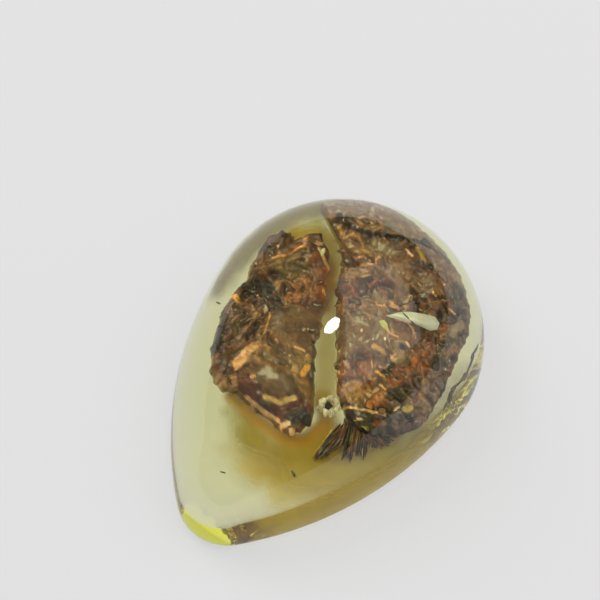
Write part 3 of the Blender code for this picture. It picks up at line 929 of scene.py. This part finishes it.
def paleFlakePiece(material):
    # a thin pale plate with a dark hair across it; its near-white colour is painted reflection, standing in
    # for the light an air film gives back
    outline = paleFlake["outline"]
    bm, tint = newTinted()
    bmesh.ops.create_circle(bm, cap_ends=True, segments=len(outline), radius=1)
    for vert, (x, y) in zip(bm.verts, outline):
        vert.co = (x * mm, y * mm, (layerHeight(x) + paleFlake["lift"]) * mm)
    bmesh.ops.subdivide_edges(bm, edges=bm.edges, cuts=2, use_grid_fill=True)
    grown = bmesh.ops.extrude_face_region(bm, geom=bm.faces[:])["geom"]
    topVerts = [part for part in grown if isinstance(part, bmesh.types.BMVert)]
    bmesh.ops.translate(bm, verts=topVerts, vec=(0, 0, paleFlake["thickness"] * mm))
    bmesh.ops.recalc_face_normals(bm, faces=bm.faces)
    for vert in bm.verts:
        tone = 1 + paleFlake["toneSpread"] * noise.noise(vert.co / (paleFlake["toneWave"] * mm))
        vert[tint] = (*Vector(paleFlake["color"]) * tone, 1.0)
    z = paleFlake["lift"] + paleFlake["hairLift"]
    for (x0, y0), (x1, y1) in zip(paleFlake["hair"][:-1], paleFlake["hair"][1:]):
        start, end = (x0, y0, layerHeight(x0) + z), (x1, y1, layerHeight(x1) + z)
        fibre(bm, tint, start, end, paleFlake["hairWidth"], "nearBlack")
    finishPiece("paleFlake", bm, material, "pale_flake")


def speckPieces(material):
    for name, (node, (x, y), size, turn) in specks.items():
        bm, tint = newTinted()
        dx, dy = math.cos(math.radians(turn)) * size, math.sin(math.radians(turn)) * size
        start, end = (x - dx, y - dy, layerHeight(x)), (x + dx, y + dy, layerHeight(x))
        fibre(bm, tint, start, end, size * speckWidth, "oliveBlack")
        finishPiece(name, bm, material, node)


# the staining and the painted shade and shadow are only colour: two thin films, just below the layer and
# deeper, each with its height over the layer and strokes of a colour, a half-width and a density along their
# points, all in millimetres
stainAndShade = {
    "steps": (120, 160),
    "halfSize": (15.0, 18.0),
    "swell": 0.2,
    "swellWave": 4.0,
    "wander": 0.22,
    "wanderWave": 1.6,
    "fadePower": 3,
    "baseColor": (0.6, 0.4, 0.05),
    "margin": 0.7,
    "faint": 0.015,
    "leastAlpha": 1e-6,
    "films": {
        "stainAndShadeUpper": (-0.6, (
            # painted shade: this olive stroke darkens the amber along the right rim
            ((0.56, 0.47, 0.16), 2.2, 0.5, (13.6, 8.0), (13.6, 3.0), (12.4, -2.0)),
            ((0.74, 0.56, 0.09), 2.2, 0.55, (5.4, -11.6), (8.6, -9.6), (11.4, -5.4)),
            ((0.50, 0.42, 0.06), 1.2, 0.6, (-2.0, -9.9), (-0.6, -11.6)),
            ((0.60, 0.33, 0.01), 1.2, 0.85, (2.8, -3.2), (4.4, -5.0), (5.4, -7.4)),
            ((0.52, 0.36, 0.02), 1.7, 0.75, (0.4, -10.6), (2.8, -10.0), (4.8, -8.4), (6.6, -6.6)),
            (
                (0.62, 0.31, 0.008), 0.8, 0.9,
                (-3.2, -8.5), (-1.0, -9.1), (1.8, -9.2), (3.5, -8.0), (4.0, -5.6),
            ),
            # orange staining in the gap between the crusts, and partly painted shade there
            ((0.62, 0.42, 0.035), 1.4, 0.74, (-2.2, 6.8), (-0.5, 3.2), (0.9, 0.5), (2.8, -3.4)),
            # painted shade: this dark olive stroke darkens the amber along the upper left rim
            (
                (0.28, 0.20, 0.02), 2.2, 0.88,
                (-12.4, 2.0), (-11.9, 5.6), (-10.8, 9.2), (-9.2, 12.3), (-7.4, 14.4),
            ),
            (
                (0.66, 0.42, 0.02), 1.2, 0.9,
                (-7.2, 10.0), (-5.6, 11.4), (-4.4, 11.0), (-3.4, 10.0), (-2.6, 8.0),
            ),
            ((0.52, 0.20, 0.01), 0.8, 0.88, (-3.6, 9.2), (-2.7, 7.4), (-1.9, 5.2)),
        )),
        "stainAndShadeLower": (-3.2, (
            # the deeper film: orange staining under the debris that also paints the debris' coloured shadow;
            # the last, olive stroke is painted shadow
            ((0.86, 0.66, 0.08), 2.5, 0.74, (4.2, -12.6), (7.2, -9.2), (9.9, -4.0), (11.8, 0.8)),
            ((0.80, 0.56, 0.03), 2.4, 0.82, (0.6, -11.8), (3.0, -8.9), (5.8, -4.9), (8.7, -1.8)),
            ((0.50, 0.44, 0.08), 0.9, 0.6, (-2.6, -7.3), (-1.2, -9.9)),
        )),
    },
}


def insideStone(x, y, z):
    # whether places, in millimetres, are inside the stone by at least the margin
    flankX, flankY, leaveRound, meetTip = flankArc()
    rise = (z * mm - stone["girdleHeight"]) / (stone["height"] - stone["girdleHeight"])
    scale = np.sqrt(1 - rise ** 2)
    x = np.abs(x) * mm / scale
    y = (y * mm - stone["peakY"]) / scale + stone["peakY"]
    lift = stone["length"] / 2 - stone["roundRadius"]
    tipY = stone["tipRadius"] - stone["length"] / 2
    gap = stainAndShade["margin"] * mm
    roundEnd = np.hypot(x, y - lift) < stone["roundRadius"] - gap
    flank = np.hypot(x - flankX, y - flankY - lift) < stone["flankRadius"] - gap
    tip = np.hypot(x, y - tipY) < stone["tipRadius"] - gap
    upper = y > lift + stone["roundRadius"] * math.sin(leaveRound)
    lower = y < tipY + stone["tipRadius"] * math.sin(meetTip)
    return np.where(upper, roundEnd, np.where(lower, tip, flank))


def stainAndShadeFilm(name, drop, strokes, material):
    bm, tint = newTinted()
    across, along = stainAndShade["steps"]
    bmesh.ops.create_grid(bm, x_segments=across, y_segments=along, size=1)
    co = np.array([vert.co for vert in bm.verts])
    x, y = co[:, 0] * stainAndShade["halfSize"][0], co[:, 1] * stainAndShade["halfSize"][1]
    z = layerHeight(x) + drop + stainAndShade["swell"] * waves(x, y, stainAndShade["swellWave"], slices["film"])
    color = np.tile(np.array(stainAndShade["baseColor"]), (len(x), 1))
    alpha = np.zeros(len(x))
    wander = stainAndShade["wander"] * waves(x, y, stainAndShade["wanderWave"], slices["filmEdge"])
    for tone, width, density, *points in strokes:
        far = np.maximum(strokeDistance(points, x, y) / width + wander, 0)
        weight = np.exp(-(far ** stainAndShade["fadePower"])) * density
        share = weight / np.maximum(weight + alpha * (1 - weight), stainAndShade["leastAlpha"])
        color += share[:, None] * (np.array(tone) - color)
        alpha = 1 - (1 - alpha) * (1 - weight)
    tints = np.column_stack([color, np.clip(alpha - stainAndShade["faint"], 0, 1)])
    layVerts(bm, tint, np.column_stack([x, y, z]), tints)

    # only the part that shows and lies inside the stone is kept
    keep = (alpha > stainAndShade["faint"]) & insideStone(x, y, z)
    gone = [vert for vert, kept in zip(bm.verts, keep) if not kept]
    bmesh.ops.delete(bm, geom=gone, context="VERTS")
    piece = addObject(name, bm, material)
    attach(piece, "root")


# the camera and the lights, in metres and watts
camera = {
    "azimuth": math.radians(32.7),
    "elevation": math.radians(63.0),
    "distance": 250 * mm,
    "target": Vector((0, 0, 9 * mm)),
    "shiftRight": -1.44 * mm,
    "shiftUp": 5.72 * mm,
    "lens": 133.4,
    "sensor": 36.0,
    "clipStart": 10 * mm,
}
light = {
    "skyStrength": 0.5,
    "horizonShare": 0.15,
    "skyColor": (0.95, 0.97, 1.0),
    "floorHalf": 1.5,
    "floorDrop": 0.05 * mm,
    "floorRoughness": 0.7,
    "floorGlow": 0.54,
    "floorColor": (0.21, 0.21, 0.21),
    "windowPower": 3.6,
    "windowPlace": (-0.55, 0.1, 0.5),
    "windowEdge": (0, 1, 0),
    "windowSize": (0.5, 0.5),
    "veilPower": 0.75,
    "veilPlace": (0.2, 0.198, 0.34),
    "veilFacing": (0.305, 0.111, 0.946),
    "veilEdge": (0.848, -0.483, -0.217),
    "veilSize": (0.59, 0.35),
    "veilColor": (1.0, 0.93, 0.92),
    "glintPower": 0.16,
    "glintPlace": (0.056, 0.064, 0.46),
    "glintSize": (0.065, 0.038),
    "glintEdge": (0.894, -0.448, 0.0),
}


def cameraAxes():
    azimuth, elevation = camera["azimuth"], camera["elevation"]
    flat = math.cos(elevation)
    back = Vector((math.sin(azimuth) * flat, -math.cos(azimuth) * flat, math.sin(elevation)))
    right = Vector((math.cos(azimuth), math.sin(azimuth), 0))
    return back, right, back.cross(right)


def addCamera():
    back, right, up = cameraAxes()
    place = camera["target"] + back * camera["distance"]
    aim = camera["target"] + right * camera["shiftRight"] + up * camera["shiftUp"]
    data = bpy.data.cameras.new("viewCamera")
    data.lens = camera["lens"]
    data.sensor_width = camera["sensor"]
    data.clip_start = camera["clipStart"]
    holder = bpy.data.objects.new("viewCamera", data)
    holder.location = place
    holder.rotation_euler = (aim - place).to_track_quat("-Z", "Y").to_euler()
    bpy.context.scene.collection.objects.link(holder)
    bpy.context.scene.camera = holder


def softLamp(name, place, facing, edge, size, power, color=(1, 1, 1)):
    # a flat lamp; facing points from the stone to it, and its first side runs along the edge
    data = bpy.data.lights.new(name, "AREA")
    data.shape = "RECTANGLE"
    data.size, data.size_y = size
    data.energy = power
    data.color = color
    lamp = bpy.data.objects.new(name, data)
    facing = Vector(facing).normalized()
    edge = Vector(edge)
    edge = (edge - facing * edge.dot(facing)).normalized()
    lamp.location = place
    lamp.rotation_euler = Matrix((edge, facing.cross(edge), facing)).transposed().to_euler()
    bpy.context.scene.collection.objects.link(lamp)
    return lamp


def addFloor():
    bm = bmesh.new()
    bmesh.ops.create_grid(bm, x_segments=1, y_segments=1, size=light["floorHalf"])
    bmesh.ops.translate(bm, verts=bm.verts, vec=(0, 0, -light["floorDrop"]))
    material = plainMaterial("paleFloor", light["floorColor"], light["floorRoughness"], light["floorGlow"])
    floor = addObject("paleFloor", bm, material)


def addLights():
    # a pale room, brighter overhead than along the horizon
    world = bpy.data.worlds.new("paleRoom")
    world.use_nodes = True
    nodes, links = world.node_tree.nodes, world.node_tree.links
    look = nodes.new("ShaderNodeTexCoord")
    split = nodes.new("ShaderNodeSeparateXYZ")
    fade = nodes.new("ShaderNodeMapRange")
    fade.inputs["To Min"].default_value = light["skyStrength"] * light["horizonShare"]
    fade.inputs["To Max"].default_value = light["skyStrength"]
    links.new(look.outputs["Generated"], split.inputs["Vector"])
    links.new(split.outputs["Z"], fade.inputs["Value"])
    links.new(fade.outputs["Result"], nodes["Background"].inputs["Strength"])
    nodes["Background"].inputs["Color"].default_value = (*light["skyColor"], 1)
    bpy.context.scene.world = world
    place = light["windowPlace"]
    window = softLamp(
        "windowLight", place, place, light["windowEdge"], light["windowSize"], light["windowPower"]
    )
    window.visible_glossy = False

    # a pale panel overhead, whose reflection veils the right half of the stone up to a straight edge
    softLamp(
        "veilPanel", light["veilPlace"], light["veilFacing"], light["veilEdge"], light["veilSize"],
        light["veilPower"], light["veilColor"],
    )

    # the small lamp of the white highlight
    place = light["glintPlace"]
    glint = softLamp("glintLamp", place, place, light["glintEdge"], light["glintSize"], light["glintPower"])
    glint.data.shape = "ELLIPSE"


addFloor()
addLights()
addCamera()
bpy.context.scene.view_settings.view_transform = "Standard"
print("floor, lights and camera set")
stonePiece(amberMaterial())
print("stone cut")
mottle = mottleGroup()
bark = debrisMaterial(mottle, "wetBark", 0.3, 0.9, 0.32)
for crust in (leftCrust, rightCrust):
    crustPiece(crust, bark)
    print(crust["name"], "laid")
noise.seed_set(fibreLook["seed"])  # so that the fibres bend the same way on every run
wood = debrisMaterial(mottle, "wetSplinter", 0.3, 0.8, 0.45)
splinterPieces(wood)
strandPiece(debrisMaterial(mottle, "dullStrand", 0.5, 0.2, 0.4))
speckPieces(wood)
crumbPiece(debrisMaterial(mottle, "chalk", 0.7, 0.1, 0.1))
paleFlakePiece(debrisMaterial(mottle, "silveryFlake", 0.25, 0.5, 0.12, scale=700.0))
print("small pieces laid")
filmMaterial = stainAndShadeMaterial()
for filmName, (drop, strokes) in stainAndShade["films"].items():
    stainAndShadeFilm(filmName, drop, strokes, filmMaterial)
print("stain laid")
